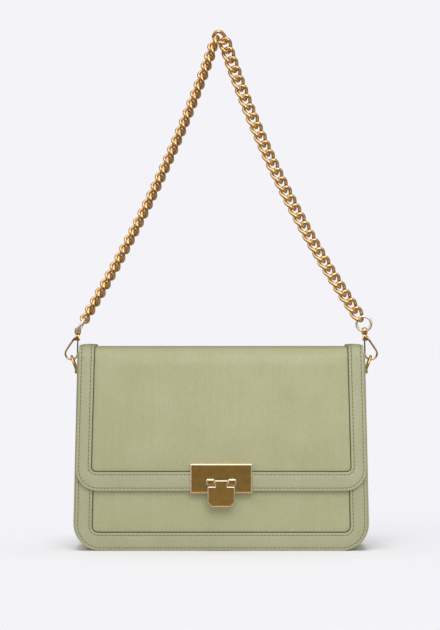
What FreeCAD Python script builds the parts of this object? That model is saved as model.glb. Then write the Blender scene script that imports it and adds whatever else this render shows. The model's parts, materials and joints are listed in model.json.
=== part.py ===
import FreeCAD, Part
import math
import os

Vector = FreeCAD.Vector
Rotation = FreeCAD.Rotation
Placement = FreeCAD.Placement

# A structured leather shoulder bag with a flap, a hinged lock and a chain strap.
# Lengths are millimetres and angles degrees. The bag stands on z = 0 with its front
# towards -Y, and the origin is the middle of its base.

# Body
body_base_width = 264.0
body_taper = 8.5
body_height = 180.8
body_depth = 70.0
body_corner_radius = 23.5
leather_thickness = 1.6
board_thickness = 1.2
lining_thickness = 0.6
ply_gap = 0.05
flange_width = 9.0
board_inset = 0.5
band_width = 16.2
band_thickness = 1.6
band_inner_radius = 6.0

# Flap
flap_top_setback = 1.8
flap_bottom_setback = 4.4
flap_bottom_height = 54.2
flap_corner_radius = 20.0
flap_edge_radius = 10.0
flap_rest_gap = 0.5
flap_back_drop = 31.8
flap_fold_inset = 26.0
fold_gap = 0.3
flap_band_side = 14.6
flap_band_bottom = 17.0
flap_band_inner_radius = 4.5
flap_board_inset = 4.0
flap_lining_inset = 1.5

# Hidden magnets that hold the flap shut
magnet_radius = 7.0
magnet_rise = 43.5
magnet_clearance = 0.1

# Lock on the flap
lock_width = 55.6
lock_height = 26.5
lock_rise = 11.15
lock_thickness = 4.4
lock_rim = 1.8
lock_recess = 0.5
lock_corner_radius = 1.0
lock_seat_gap = 0.2
lock_slot_width = 28.4
lock_slot_height = 7.4
lock_slot_drop = 3.45
lock_slot_radius = 1.0
lock_plate_inset = 3.0
lock_plate_thickness = 1.0
lug_width = 7.0
lug_height = 5.6
lug_spacing = 19.4
lug_reach = 3.1
lug_radius = 1.2
lock_screw_radius = 1.0
lock_screw_head_radius = 1.9
lock_screw_head_height = 0.5
lock_screw_depth = 2.5
lock_screw_inset = 2.4
screw_clearance = 0.05

# Tongue of the lock
tongue_width = 24.5
tongue_thickness = 2.2
tongue_drop = 22.4
tongue_shoulder_drop = 3.9
tongue_neck_width = 11.5
tongue_chamfer = 3.8
tongue_shoulder_radius = 0.8
tongue_rim = 1.3
tongue_recess = 0.4
tongue_gap = 0.4
tongue_barrel_radius = 2.1
hinge_pin_radius = 0.9
hinge_pin_drop = 2.95
pin_clearance = 0.06

# Side anchors and rings
strap_inset = 17.0
anchor_drop = 20.7
anchor_length = 22.0
anchor_plate_height = 8.0
anchor_plate_thickness = 1.2
anchor_axis_offset = 4.2
anchor_barrel_length = 8.0
anchor_barrel_radius = 2.3
rivet_radius = 1.0
rivet_head_radius = 1.9
rivet_head_height = 0.8
rivet_spacing = 16.0
rivet_clearance = 0.05
washer_radius = 3.2
washer_thickness = 0.6
ring_wire_radius = 1.1
ring_half_width = 7.5
ring_height = 14.9
ring_corner_radius = 2.5
ring_lean = 20.6

# Snap hooks
hook_wire_radius = 0.88
hook_radius = 5.6
hook_hang_gap = 1.0
hook_side_offset = 0.2
hook_neck_inward = 5.95
hook_neck_rise = 18.5
web_thickness = 3.2
web_height = 6.1
web_top_width = 3.8
web_top_drop = 0.5
fork_gap = 1.8
fork_depth = 2.9
fork_reach = 2.4
gate_pin_radius = 0.45
gate_pin_drop = 2.8
gate_wire_radius = 0.7
gate_eye_radius = 1.1
gate_side_gap = 0.1
gate_tip_gap = 0.4
stem_radius = 0.9
stem_clearance = 0.06
stem_head_radius = 1.3
stem_head_height = 0.3
collar_height = 0.6
collar_gap = 0.25
eye_radius = 3.0
eye_hole_radius = 1.7
eye_leg_height = 2.2

# Round rings at the ends of the chain
end_ring_radius = 6.75
end_ring_wire_radius = 1.2
end_ring_gap = 1.0
left_end_ring_lean = 30.6
right_end_ring_lean = 6.0
left_end_ring_turn = -85.0
right_end_ring_turn = -10.0

# Chain
link_length = 16.25
link_width = 12.5
link_wire = 3.3
link_twist = -2.3
link_gap = 0.3
link_end_gap = 0.15
left_start_lean = 30.6
right_start_lean = 34.5
left_chain_sag = 6.8
right_chain_sag = 9.7
left_roll_shares = (0.0, 0.13, 0.5, 1.0)
left_rolls = (108.0, 115.0, 115.0, 114.6)
right_roll_shares = (0.0, 0.07, 0.82, 1.0)
right_rolls = (154.0, 142.0, 146.0, 166.4)

# Top of the chain, and the ends of its strands and their last links measured from there
chain_top_across = -3.6
chain_top_rise = 283.9
left_strand_across = -5.76
left_strand_drop = 12.26
right_strand_across = 7.85
right_strand_drop = 5.82
left_top_link_across = -2.67
left_top_link_drop = 3.74
left_top_link_lean = 25.6
left_top_link_roll = 109.1
right_top_link_across = 2.79
right_top_link_drop = -1.14
right_top_link_lean = 128.9
right_top_link_roll = 164.6
strap_lean = 2.6

# Cuts run past the faces that they open by this much, and nearer points are one point
overrun = 5.0
meeting_tolerance = 0.0001

# Places worked out from the sizes above
half_depth = body_depth / 2
flap_fold_line = half_depth - flap_fold_inset
strap_line = half_depth - strap_inset
body_top_width = body_base_width - body_taper
flap_top_width = body_top_width - flap_top_setback
flap_bottom_width = body_base_width - flap_bottom_setback
flap_back_height = body_height - flap_back_drop
magnet_height = flap_bottom_height + magnet_rise
lock_centre_height = flap_bottom_height + lock_rise
lock_slot_centre_height = lock_centre_height - lock_slot_drop
hinge_pin_height = lock_centre_height - hinge_pin_drop
tongue_bottom_height = hinge_pin_height - tongue_drop
tongue_shoulder_height = hinge_pin_height - tongue_shoulder_drop
anchor_height = body_height - anchor_drop
chain_top_height = body_height + chain_top_rise
side_slope = (body_base_width - body_top_width) / 2 / body_height
flap_back_face = half_depth + band_thickness + flap_rest_gap
flap_front_face = flap_back_face + lining_thickness + board_thickness + leather_thickness
flap_rear_face = half_depth + leather_thickness
flap_top_face = body_height + flap_rest_gap + lining_thickness + leather_thickness
fold_axis_y = -(flap_front_face + band_thickness)
fold_axis_z = flap_top_face + band_thickness
flap_slope = (flap_bottom_width - flap_top_width) / 2 / (flap_top_face - flap_bottom_height)
lock_face = -(flap_front_face + lock_thickness)
tongue_back = lock_face - tongue_gap
hinge_pin_y = tongue_back - tongue_thickness / 2
link_half_length = (link_length - link_wire) / 2
link_half_width = (link_width - link_wire) / 2
link_pitch = link_length - 2 * link_wire - link_gap


def side_half_width(z):
    """Half the body's width at a height."""
    return body_base_width / 2 - side_slope * z


ring_bar_x = side_half_width(anchor_height) + anchor_axis_offset
ring_top_x = ring_bar_x + ring_height * math.sin(math.radians(ring_lean))
ring_top_z = anchor_height + ring_height * math.cos(math.radians(ring_lean))
hook_reach = hook_radius - hook_wire_radius - ring_wire_radius - hook_hang_gap
hook_centre_x = ring_top_x + hook_side_offset
hook_centre_z = ring_top_z + math.sqrt(hook_reach ** 2 - hook_side_offset ** 2)
strap_pivot_z = hook_centre_z - hook_radius
neck_x = hook_centre_x - hook_neck_inward
neck_z = hook_centre_z + hook_neck_rise
web_top_z = neck_z - web_top_drop
collar_bottom_z = web_top_z + collar_gap
collar_top_z = collar_bottom_z + collar_height
eye_arch_z = collar_top_z + eye_leg_height
eye_inner_top_z = eye_arch_z + eye_hole_radius
end_ring_low_z = eye_inner_top_z - end_ring_wire_radius - end_ring_gap
gate_pin_x = neck_x
gate_pin_z = web_top_z - gate_pin_drop

# The values of each side by its name
sides = {"left": -1, "right": 1}
end_ring_leans = {"left": left_end_ring_lean, "right": right_end_ring_lean}
end_ring_turns = {"left": left_end_ring_turn, "right": right_end_ring_turn}
start_leans = {"left": left_start_lean, "right": right_start_lean}
chain_sags = {"left": left_chain_sag, "right": right_chain_sag}
roll_shares = {"left": left_roll_shares, "right": right_roll_shares}
rolls = {"left": left_rolls, "right": right_rolls}
strand_ends = {"left": (left_strand_across, left_strand_drop),
               "right": (right_strand_across, right_strand_drop)}
top_places = {"left": (left_top_link_across, left_top_link_drop),
              "right": (right_top_link_across, right_top_link_drop)}
top_leans = {"left": left_top_link_lean, "right": right_top_link_lean}
top_rolls = {"left": left_top_link_roll, "right": right_top_link_roll}


def tangent_arc(start, corner, end):
    """An arc that leaves start towards corner and reaches end from corner."""
    chord_middle = (start + end) * 0.5
    half_chord = (end - start).Length / 2
    to_corner = corner - chord_middle
    rise = half_chord * math.tan(math.atan2(to_corner.Length, half_chord) / 2)
    return Part.Arc(start, chord_middle + to_corner.normalize() * rise, end).toShape()


def straight_run(start, end):
    """A straight edge, or none where two arcs meet."""
    if start.isEqual(end, meeting_tolerance):
        return []
    return [Part.LineSegment(start, end).toShape()]


def rounded_wire(corners, radii, place, closed=True):
    """Straight runs between the corners, each corner rounded to its radius."""
    points = [place(*corner) for corner in corners]
    edges = []
    last = None
    first = None
    count = len(points)
    for index, point in enumerate(points):
        open_end = not closed and index in (0, count - 1)
        radius = 0 if open_end else radii[index]
        if radius == 0:
            enter = leave = point
        else:
            back = (points[index - 1] - point).normalize()
            ahead = (points[(index + 1) % count] - point).normalize()
            setback = radius / math.tan(back.getAngle(ahead) / 2)
            enter = point + back * setback
            leave = point + ahead * setback
        if last is not None:
            edges += straight_run(last, enter)
        if radius != 0:
            edges.append(tangent_arc(enter, point, leave))
        first = enter if first is None else first
        last = leave
    if closed:
        edges += straight_run(last, first)
    return Part.Wire(edges)


def front_place(x, z):
    """A point of the front view."""
    return Vector(x, 0, z)


def side_place(y, z):
    """A point of the side view."""
    return Vector(0, y, z)


def front_prism(corners, radii, y_from, y_to):
    """A front-view outline drawn out from one depth to another."""
    face = Part.Face(rounded_wire(corners, radii, front_place))
    face.translate(Vector(0, y_from, 0))
    return face.extrude(Vector(0, y_to - y_from, 0))


def side_prism(corners, radii, half_length):
    """A side-view outline drawn out to both sides of the middle."""
    face = Part.Face(rounded_wire(corners, radii, side_place))
    face.translate(Vector(-half_length, 0, 0))
    return face.extrude(Vector(2 * half_length, 0, 0))


def rod(radius, start, end):
    """A round bar between two points."""
    return Part.makeCylinder(radius, (end - start).Length, start, end - start)


def wire_sweep(path, radius, start, direction):
    """A round wire along a path of lines and arcs."""
    section = Part.Wire([Part.makeCircle(radius, start, direction)])
    return path.makePipeShell([section], True, False)


def mirrored(shape):
    """The same piece on the other side of the bag."""
    return shape.mirror(Vector(0, 0, 0), Vector(1, 0, 0))


def for_side(side, shape):
    """A piece built on the right, for the side that is named."""
    return shape if side == "right" else mirrored(shape)


def leaned(shape):
    """A piece of the strap, turned to the strap's lean about the line through the hooks."""
    turned = shape.copy()
    turned.rotate(Vector(0, strap_line, strap_pivot_z), Vector(1, 0, 0), strap_lean)
    return turned


# Body panels, boards, linings and gusset

def body_prism(inset, y_from, y_to, top=body_height, radius=None):
    """The body's front outline, drawn in by an inset at its sides and bottom."""
    draw_in = inset * math.hypot(1, side_slope)
    low = side_half_width(inset) - draw_in
    high = side_half_width(top) - draw_in
    corners = [(-high, top), (-low, inset), (low, inset), (high, top)]
    corner = max(body_corner_radius - inset, band_inner_radius) if radius is None else radius
    return front_prism(corners, [0, corner, corner, 0], y_from, y_to)


def depth_span(side, near, thickness):
    """From and to depths of a ply that starts this far inside the front or the back."""
    start = side * (half_depth - near)
    end = side * (half_depth - near - thickness)
    return min(start, end), max(start, end)


def under_flap(shape):
    """A piece of the body, its top edge rounded off to lie under the flap's leather."""
    return shape.common(over_the_top(-(leather_thickness + flap_rest_gap)))


def front_panel():
    return under_flap(body_prism(0, *depth_span(-1, 0, leather_thickness)))


def back_panel():
    """The back's leather, which the flap's rear part is sewn to."""
    return body_prism(0, *depth_span(1, 0, leather_thickness)).common(over_the_top(-leather_thickness))


def stiffener(side):
    span = depth_span(side, leather_thickness, board_thickness)
    return under_flap(body_prism(flange_width + board_inset, *span))


def panel_lining(side):
    span = depth_span(side, 2 * leather_thickness, lining_thickness)
    return under_flap(body_prism(leather_thickness + ply_gap + lining_thickness, *span))


def front_board():
    """The front's board, with a seat for its magnet."""
    seat = magnet_disc(magnet_radius + magnet_clearance, -(half_depth + overrun), 0)
    return stiffener(-1).cut(seat)


def front_band():
    """Raised border round the sides and bottom of the front."""
    y_from = -(half_depth + band_thickness)
    outer = body_prism(0, y_from, -half_depth)
    inner = body_prism(band_width, y_from - overrun, overrun, body_height + overrun, band_inner_radius)
    return under_flap(outer.cut(inner))


def rivet_places(side):
    """Where the rivets of one side anchor go through the gusset."""
    return [Vector(0, strap_line + step * rivet_spacing / 2, anchor_height) for step in (-1, 1)]


def rivet_holes(side, radius):
    """Holes for one side's rivets, through whatever lies at that side."""
    hand = sides[side]
    reach = Vector(hand * body_base_width, 0, 0)
    return [rod(radius, place, place + reach) for place in rivet_places(side)]


def all_rivet_holes(radius):
    return rivet_holes("left", radius) + rivet_holes("right", radius)


def gusset():
    """One strip that makes the sides and bottom, its long edges turned in behind the panels."""
    front, back = -(half_depth - leather_thickness), half_depth - leather_thickness
    past_top = body_height + overrun
    block = body_prism(0, front, back)
    hollow = body_prism(leather_thickness, front + leather_thickness, back - leather_thickness, past_top)
    window = body_prism(flange_width, front - overrun, back + overrun, past_top)
    strip = block.cut(hollow).cut(window).cut(all_rivet_holes(rivet_radius + rivet_clearance))
    return under_flap(strip)


def gusset_lining():
    """Lining of the sides and bottom, between the turned edges."""
    near = half_depth - 2 * leather_thickness - ply_gap
    inset = leather_thickness + ply_gap
    past_top = body_height + overrun
    sleeve = body_prism(inset, -near, near)
    hollow = body_prism(inset + lining_thickness, -near - overrun, near + overrun, past_top)
    strip = sleeve.cut(hollow).cut(all_rivet_holes(rivet_radius + rivet_clearance))
    front_edge = body_prism(0, -near - overrun, -near + lining_thickness + ply_gap, past_top)
    back_edge = body_prism(0, near - lining_thickness - ply_gap, near + overrun, past_top)
    return under_flap(strip.cut(front_edge).cut(back_edge))


def base_board():
    """Stiff board that lies on the lining of the bottom."""
    floor = leather_thickness + 2 * ply_gap + lining_thickness
    half_length = body_base_width / 2 - body_corner_radius
    half_width = half_depth - 2 * leather_thickness - lining_thickness - 2 * board_inset
    corner = Vector(-half_length, -half_width, floor)
    return Part.makeBox(2 * half_length, 2 * half_width, board_thickness, corner)


# Flap

def flap_corners(side_inset, bottom, top):
    """Front outline of the flap from its bottom to above its top."""
    draw_in = side_inset * math.hypot(1, flap_slope)
    low = flap_bottom_width / 2 - flap_slope * (bottom - flap_bottom_height) - draw_in
    high = flap_bottom_width / 2 - flap_slope * (top - flap_bottom_height) - draw_in
    return [(-high, top), (-low, bottom), (low, bottom), (high, top)]


def flap_prism(side_inset, bottom, corner, y_from, y_to, past_top=2 * overrun):
    corners = flap_corners(side_inset, bottom, flap_top_face + past_top)
    return front_prism(corners, [0, corner, corner, 0], y_from, y_to)


def over_the_top(outset):
    """Everything under a sheet that runs up the front, over the top and down the back."""
    front, back = -(flap_front_face + outset), flap_rear_face + outset
    top = flap_top_face + outset
    radius = flap_edge_radius + outset
    corners = [(front, 0), (front, top), (back, top), (back, 0)]
    return side_prism(corners, [0, radius, radius, 0], body_base_width)


def sheet(inner, outer):
    """A ply between two distances from the flap's outer face."""
    return over_the_top(outer).cut(over_the_top(inner))


def fold_side(before):
    """The space before or behind the slanting plane that parts the flap's front from its top."""
    reach = body_base_width
    shift = fold_gap / 2 * math.sqrt(2) * (-1 if before else 1)
    y, z = fold_axis_y, fold_axis_z + shift
    away = -reach if before else reach
    corners = [(y - reach, z + reach), (y + reach, z - reach), (y + away, z + away)]
    return side_prism(corners, [0, 0, 0], body_base_width)


def front_region(y_to, side_inset=0, bottom=flap_bottom_height, corner=flap_corner_radius):
    return flap_prism(side_inset, bottom, corner, -2 * body_depth, y_to)


def flap_leather(inner, outer):
    """A ply of the moving flap, from its front edge to the fold line on the top."""
    return sheet(inner, outer).common(front_region(flap_fold_line - fold_gap / 2))


def lock_cuts(slot_room):
    """Slot and screw holes of the lock, through the plies behind its front plate."""
    half_width = lock_slot_width / 2 + slot_room
    half_height = lock_slot_height / 2 + slot_room
    middle = lock_slot_centre_height
    corners = [(-half_width, middle - half_height), (half_width, middle - half_height),
               (half_width, middle + half_height), (-half_width, middle + half_height)]
    radius = lock_slot_radius + slot_room
    slot = front_prism(corners, [radius] * len(corners), -body_depth, 0)
    holes = [rod(lock_screw_radius + screw_clearance, place, place - Vector(0, body_depth, 0))
             for place in lock_screw_places()]
    return [slot] + holes


def lock_screw_places():
    across = lock_width / 2 - lock_plate_inset - lock_screw_inset
    up = lock_height / 2 - lock_plate_inset - lock_screw_inset
    return [Vector(i * across, 0, lock_centre_height + j * up) for i in (-1, 1) for j in (-1, 1)]


def lock_block(inset, y_from, y_to):
    """A rounded block of the lock plate's outline, drawn in by an inset."""
    half_width = lock_width / 2 - inset
    half_height = lock_height / 2 - inset
    middle = lock_centre_height
    corners = [(-half_width, middle - half_height), (half_width, middle - half_height),
               (half_width, middle + half_height), (-half_width, middle + half_height)]
    return front_prism(corners, [lock_corner_radius] * len(corners), y_from, y_to)


def flap_panel():
    """Leather of the flap's front, with its half of the rounded edge."""
    return flap_leather(-leather_thickness, 0).common(fold_side(True)).cut(lock_cuts(0))


def flap_top_panel():
    """Leather of the flap's top, in front of the fold line."""
    return flap_leather(-leather_thickness, 0).common(fold_side(False))


def band_region(y_from, y_to, bottom, inner_bottom):
    outer = flap_prism(0, bottom, flap_corner_radius, y_from, y_to)
    inner = flap_prism(flap_band_side, inner_bottom, flap_band_inner_radius,
                       y_from - overrun, y_to + overrun, 2 * overrun + overrun)
    return outer.cut(inner)


def moving_band():
    region = band_region(-2 * body_depth, flap_fold_line - fold_gap / 2,
                         flap_bottom_height, flap_bottom_height + flap_band_bottom)
    return sheet(0, band_thickness).common(region)


def flap_band():
    """Raised border round the sides and bottom of the flap, pierced for the lock."""
    return moving_band().common(fold_side(True)).cut(lock_cuts(0))


def flap_top_band():
    return moving_band().common(fold_side(False))


def flap_flat(inset, y_from, y_to):
    """A flat ply behind the flap's front leather."""
    top = flap_top_face - flap_edge_radius
    corners = flap_corners(inset, flap_bottom_height + inset, top)
    corner = flap_corner_radius - inset
    return front_prism(corners, [0, corner, corner, 0], y_from, y_to).cut(lock_cuts(0))


def flap_board():
    """The flap's board, with a seat for its magnet."""
    y_from = -(flap_back_face + lining_thickness + board_thickness)
    y_to = -(flap_back_face + lining_thickness)
    seat = magnet_disc(magnet_radius + magnet_clearance, y_from - overrun, 0)
    return flap_flat(flap_board_inset, y_from, y_to).cut(seat)


def flap_lining():
    return flap_flat(flap_lining_inset, -(flap_back_face + lining_thickness), -flap_back_face)


def flap_top_lining():
    """Lining under the flap's top."""
    y_from = -(flap_front_face - flap_edge_radius)
    y_to = flap_fold_line - fold_gap / 2
    half_width = flap_top_width / 2 - flap_lining_inset
    low = flap_top_face - leather_thickness - lining_thickness
    return Part.makeBox(2 * half_width, y_to - y_from, lining_thickness, Vector(-half_width, y_from, low))


def rear_region():
    return flap_prism(0, flap_back_height, 0, flap_fold_line + fold_gap / 2, 2 * body_depth)


def flap_rear_panel():
    """The flap's rear part, sewn to the back of the body."""
    return sheet(-leather_thickness, 0).common(rear_region())


def flap_rear_band():
    inner = flap_prism(flap_band_side, 0, 0, 0, 2 * body_depth + overrun, 2 * overrun + overrun)
    return sheet(0, band_thickness).common(rear_region()).cut(inner)


# Magnets

def magnet_disc(radius, y_from, y_to):
    return rod(radius, Vector(0, y_from, magnet_height), Vector(0, y_to, magnet_height))


def flap_magnet():
    low = -(flap_back_face + lining_thickness + board_thickness)
    return magnet_disc(magnet_radius, low, low + board_thickness)


def catch_magnet():
    low = -(half_depth - leather_thickness)
    return magnet_disc(magnet_radius, low, low + board_thickness)


# Lock

def lock_front_plate():
    """Rimmed plate on the flap, stepped over the border, with blind holes behind for its screws."""
    band_top = flap_bottom_height + flap_band_bottom + lock_seat_gap
    step = Part.makeBox(2 * lock_width, flap_front_face + band_thickness, band_top,
                        Vector(-lock_width, -(flap_front_face + band_thickness), 0))
    plate = lock_block(0, lock_face, -flap_front_face).cut(step)
    hollow = lock_block(lock_rim, lock_face - overrun, lock_face + lock_recess)
    slot = lock_cuts(0)[0]
    holes = [rod(lock_screw_radius + screw_clearance, place - Vector(0, flap_front_face - overrun, 0),
                 place - Vector(0, flap_front_face + lock_screw_depth + screw_clearance, 0))
             for place in lock_screw_places()]
    return plate.cut(hollow).cut(slot).cut(holes)


def lug(hand):
    half_width = lug_width / 2
    half_height = lug_height / 2
    middle = hand * lug_spacing / 2
    corners = [(middle - half_width, hinge_pin_height - half_height),
               (middle + half_width, hinge_pin_height - half_height),
               (middle + half_width, hinge_pin_height + half_height),
               (middle - half_width, hinge_pin_height + half_height)]
    return front_prism(corners, [lug_radius] * len(corners), lock_face - lug_reach, -flap_back_face)


def hinge_axis(half_length, radius):
    return rod(radius, Vector(-half_length, hinge_pin_y, hinge_pin_height),
               Vector(half_length, hinge_pin_y, hinge_pin_height))


def lug_span():
    return (lug_spacing + lug_width) / 2


def lock_back_plate():
    """Plate behind the flap with the two lugs that stand through the slot."""
    plate = lock_block(lock_plate_inset, -flap_back_face, -(flap_back_face - lock_plate_thickness))
    holes = [rod(lock_screw_radius + screw_clearance, place, place - Vector(0, body_depth, 0))
             for place in lock_screw_places()]
    bore = hinge_axis(lug_span() + overrun, hinge_pin_radius + screw_clearance)
    return plate.cut(holes).fuse([lug(-1), lug(1)]).cut(bore).removeSplitter()


def lock_screws():
    """Four small screws, their heads behind the back plate."""
    screws = []
    behind = -(flap_back_face - lock_plate_thickness)
    for place in lock_screw_places():
        seat = place + Vector(0, behind, 0)
        tip = place - Vector(0, flap_front_face + lock_screw_depth, 0)
        head = rod(lock_screw_head_radius, seat, seat + Vector(0, lock_screw_head_height, 0))
        screws.append(head.fuse(rod(lock_screw_radius, seat, tip)).removeSplitter())
    return Part.makeCompound(screws)


def hinge_pin():
    return hinge_axis(lug_span(), hinge_pin_radius)


def tongue():
    """Rimmed tongue with a neck that turns on the pin between the lugs."""
    half_width = tongue_width / 2
    half_neck = tongue_neck_width / 2
    low, shoulder = tongue_bottom_height, tongue_shoulder_height
    front = tongue_back - tongue_thickness
    corners = [(-half_width, shoulder), (-half_width, low + tongue_chamfer),
               (-half_width + tongue_chamfer, low), (half_width - tongue_chamfer, low),
               (half_width, low + tongue_chamfer), (half_width, shoulder)]
    radii = [tongue_shoulder_radius, 0, 0, 0, 0, tongue_shoulder_radius]
    blade = front_prism(corners, radii, front, tongue_back)
    inner = [(-half_width + tongue_rim, shoulder - tongue_rim),
             (-half_width + tongue_rim, low + tongue_chamfer + tongue_rim / 2),
             (-half_width + tongue_chamfer + tongue_rim / 2, low + tongue_rim),
             (half_width - tongue_chamfer - tongue_rim / 2, low + tongue_rim),
             (half_width - tongue_rim, low + tongue_chamfer + tongue_rim / 2),
             (half_width - tongue_rim, shoulder - tongue_rim)]
    hollow = front_prism(inner, [0] * len(inner), front - overrun, front + tongue_recess)
    neck_low = shoulder - tongue_rim
    neck = Part.makeBox(tongue_neck_width, tongue_thickness, hinge_pin_height - neck_low,
                        Vector(-half_neck, front, neck_low))
    barrel = hinge_axis(half_neck, tongue_barrel_radius)
    bore = hinge_axis(half_neck + overrun, hinge_pin_radius + pin_clearance)
    return blade.cut(hollow).fuse([neck, barrel]).cut(bore).removeSplitter()


# Side anchors and rings

def anchor_face():
    """How far from the middle an anchor's plate touches the slanting gusset."""
    return side_half_width(anchor_height - anchor_plate_height / 2)


def side_anchor():
    """Plate on the gusset with a barrel that holds the ring's straight bar."""
    face = anchor_face()
    corner = Vector(face, strap_line - anchor_length / 2, anchor_height - anchor_plate_height / 2)
    plate = Part.makeBox(anchor_plate_thickness, anchor_length, anchor_plate_height, corner)
    near = Vector(ring_bar_x, strap_line - anchor_barrel_length / 2, anchor_height)
    far = Vector(ring_bar_x, strap_line + anchor_barrel_length / 2, anchor_height)
    barrel = rod(anchor_barrel_radius, near, far)
    bridge = Part.makeBox(ring_bar_x - face, anchor_barrel_length, 2 * anchor_barrel_radius,
                          Vector(face, near.y, anchor_height - anchor_barrel_radius))
    clear = Vector(0, overrun, 0)
    bore = rod(ring_wire_radius + pin_clearance, near - clear, far + clear)
    holes = rivet_holes("right", rivet_radius + rivet_clearance)
    return plate.fuse([barrel, bridge]).removeSplitter().cut([bore] + holes)


def anchor_rivets(side):
    """Two rivets, headed outside, through the anchor, gusset, lining and washers."""
    rivets = []
    outside = anchor_face() + anchor_plate_thickness
    inside = side_half_width(anchor_height) - rivet_grip()
    for place in rivet_places(side):
        seat = place + Vector(outside, 0, 0)
        tip = place + Vector(inside, 0, 0)
        head = rod(rivet_head_radius, seat, seat + Vector(rivet_head_height, 0, 0))
        rivets.append(for_side(side, head.fuse(rod(rivet_radius, tip, seat)).removeSplitter()))
    return Part.makeCompound(rivets)


def rivet_grip():
    """Depth from the gusset's outside to the inner face of the washers."""
    return leather_thickness + 2 * ply_gap + lining_thickness + washer_seat() + washer_thickness


def washer_seat():
    """Room for the slope of the side across a washer."""
    return side_slope * washer_radius + ply_gap


def rivet_washers(side):
    washers = []
    inner = side_half_width(anchor_height) - rivet_grip()
    for place in rivet_places(side):
        start = place + Vector(inner, 0, 0)
        end = start + Vector(washer_thickness, 0, 0)
        disc = rod(washer_radius, start, end)
        past = Vector(overrun, 0, 0)
        bore = rod(rivet_radius + rivet_clearance, start - past, end + past)
        washers.append(for_side(side, disc.cut(bore)))
    return Part.makeCompound(washers)


def side_ring():
    """D-shaped ring of round wire, leaning out from the bag on its straight bar."""
    half = ring_half_width
    halves = []
    for hand in (-1, 1):
        run = rounded_wire([(0, 0), (hand * half, 0), (hand * half, ring_height), (0, ring_height)],
                           [0, ring_corner_radius, half, 0], side_place, False)
        halves.append(wire_sweep(run, ring_wire_radius, Vector(0, 0, 0), Vector(0, 1, 0)))
    ring = halves[0].fuse(halves[1]).removeSplitter()
    ring.rotate(Vector(0, 0, 0), Vector(0, 1, 0), ring_lean)
    ring.translate(Vector(ring_bar_x, strap_line, anchor_height))
    return ring


# Snap hooks

def hook_tangents():
    """Where the hook's two straight legs, which meet at its neck, touch its round bottom."""
    reach = math.hypot(hook_neck_inward, hook_neck_rise)
    toward = math.atan2(hook_neck_rise, -hook_neck_inward)
    spread = math.acos(hook_radius / reach)
    return toward + spread, toward - spread


def hook_point(angle):
    return Vector(hook_centre_x + hook_radius * math.cos(angle), strap_line,
                  hook_centre_z + hook_radius * math.sin(angle))


def neck_point():
    return Vector(neck_x, strap_line, neck_z)


def fork_room(depth):
    """The slot of the fork, down from above the gate's eye, so that nothing crosses the gate's way."""
    top = gate_pin_z + gate_eye_radius + gate_side_gap
    corner = Vector(neck_x - web_top_width / 2 - overrun, strap_line - fork_gap / 2, top - depth)
    return Part.makeBox(web_top_width / 2 + fork_reach + overrun, fork_gap, depth, corner)


def neck_web():
    """Solid wedge between the legs under the neck, forked for the gate."""
    half_top = web_top_width / 2
    low = web_top_z - web_height
    outer_leg = hook_tangents()[1]
    start = hook_point(outer_leg)
    share = (low - start.z) / (neck_z - start.z)
    outer_x = start.x + (neck_x - start.x) * share + hook_wire_radius
    corners = [(neck_x - half_top, web_top_z), (neck_x - half_top, low), (outer_x, low),
               (neck_x + half_top, web_top_z)]
    web = front_prism(corners, [0, 0, 0, 0], strap_line - web_thickness / 2, strap_line + web_thickness / 2)
    return web.cut(fork_room(web_height))


def hook():
    """Hook body: round bottom, outer leg, forked neck and swivel stem."""
    inner, outer = hook_tangents()
    turn = outer + 2 * math.pi - inner
    nose = hook_point(inner)
    middle = hook_point(inner + turn / 2)
    shoulder = hook_point(outer)
    low = Vector(0, 0, web_top_z - web_height / 2)
    share = (low.z - shoulder.z) / (neck_z - shoulder.z)
    top = shoulder + (neck_point() - shoulder) * share
    path = Part.Wire([Part.Arc(nose, middle, shoulder).toShape(), Part.LineSegment(shoulder, top).toShape()])
    along = Vector(-math.sin(inner), 0, math.cos(inner))
    wire = wire_sweep(path, hook_wire_radius, nose, along)
    pin_reach = Vector(0, web_thickness, 0)
    pin_place = Vector(gate_pin_x, strap_line, gate_pin_z)
    bore = rod(gate_pin_radius + pin_clearance, pin_place - pin_reach, pin_place + pin_reach)
    stem_foot = Vector(neck_x, strap_line, web_top_z - stem_head_height)
    head_foot = Vector(neck_x, strap_line, collar_top_z + ply_gap)
    stem = rod(stem_radius, stem_foot, head_foot)
    head = rod(stem_head_radius, head_foot, head_foot + Vector(0, 0, stem_head_height))
    return neck_web().fuse([wire.cut(fork_room(fork_depth)), stem, head]).removeSplitter().cut(bore)


def gate_pin():
    half = Vector(0, web_thickness / 2, 0)
    place = Vector(gate_pin_x, strap_line, gate_pin_z)
    return rod(gate_pin_radius, place - half, place + half)


def gate():
    """Sprung lever between the neck and the hook's nose."""
    inner = hook_tangents()[0]
    nose = hook_point(inner)
    along = Vector(-math.sin(inner), 0, math.cos(inner))
    tip = nose - along * gate_tip_gap
    pivot = Vector(gate_pin_x, strap_line, gate_pin_z)
    lever = rod(gate_wire_radius, tip, pivot)
    thickness = fork_gap - 2 * gate_side_gap
    half = Vector(0, thickness / 2, 0)
    eye = rod(gate_eye_radius, pivot - half, pivot + half)
    past = Vector(0, overrun, 0)
    bore = rod(gate_pin_radius + pin_clearance, pivot - past, pivot + past)
    return lever.fuse(eye).removeSplitter().cut(bore)


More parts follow.
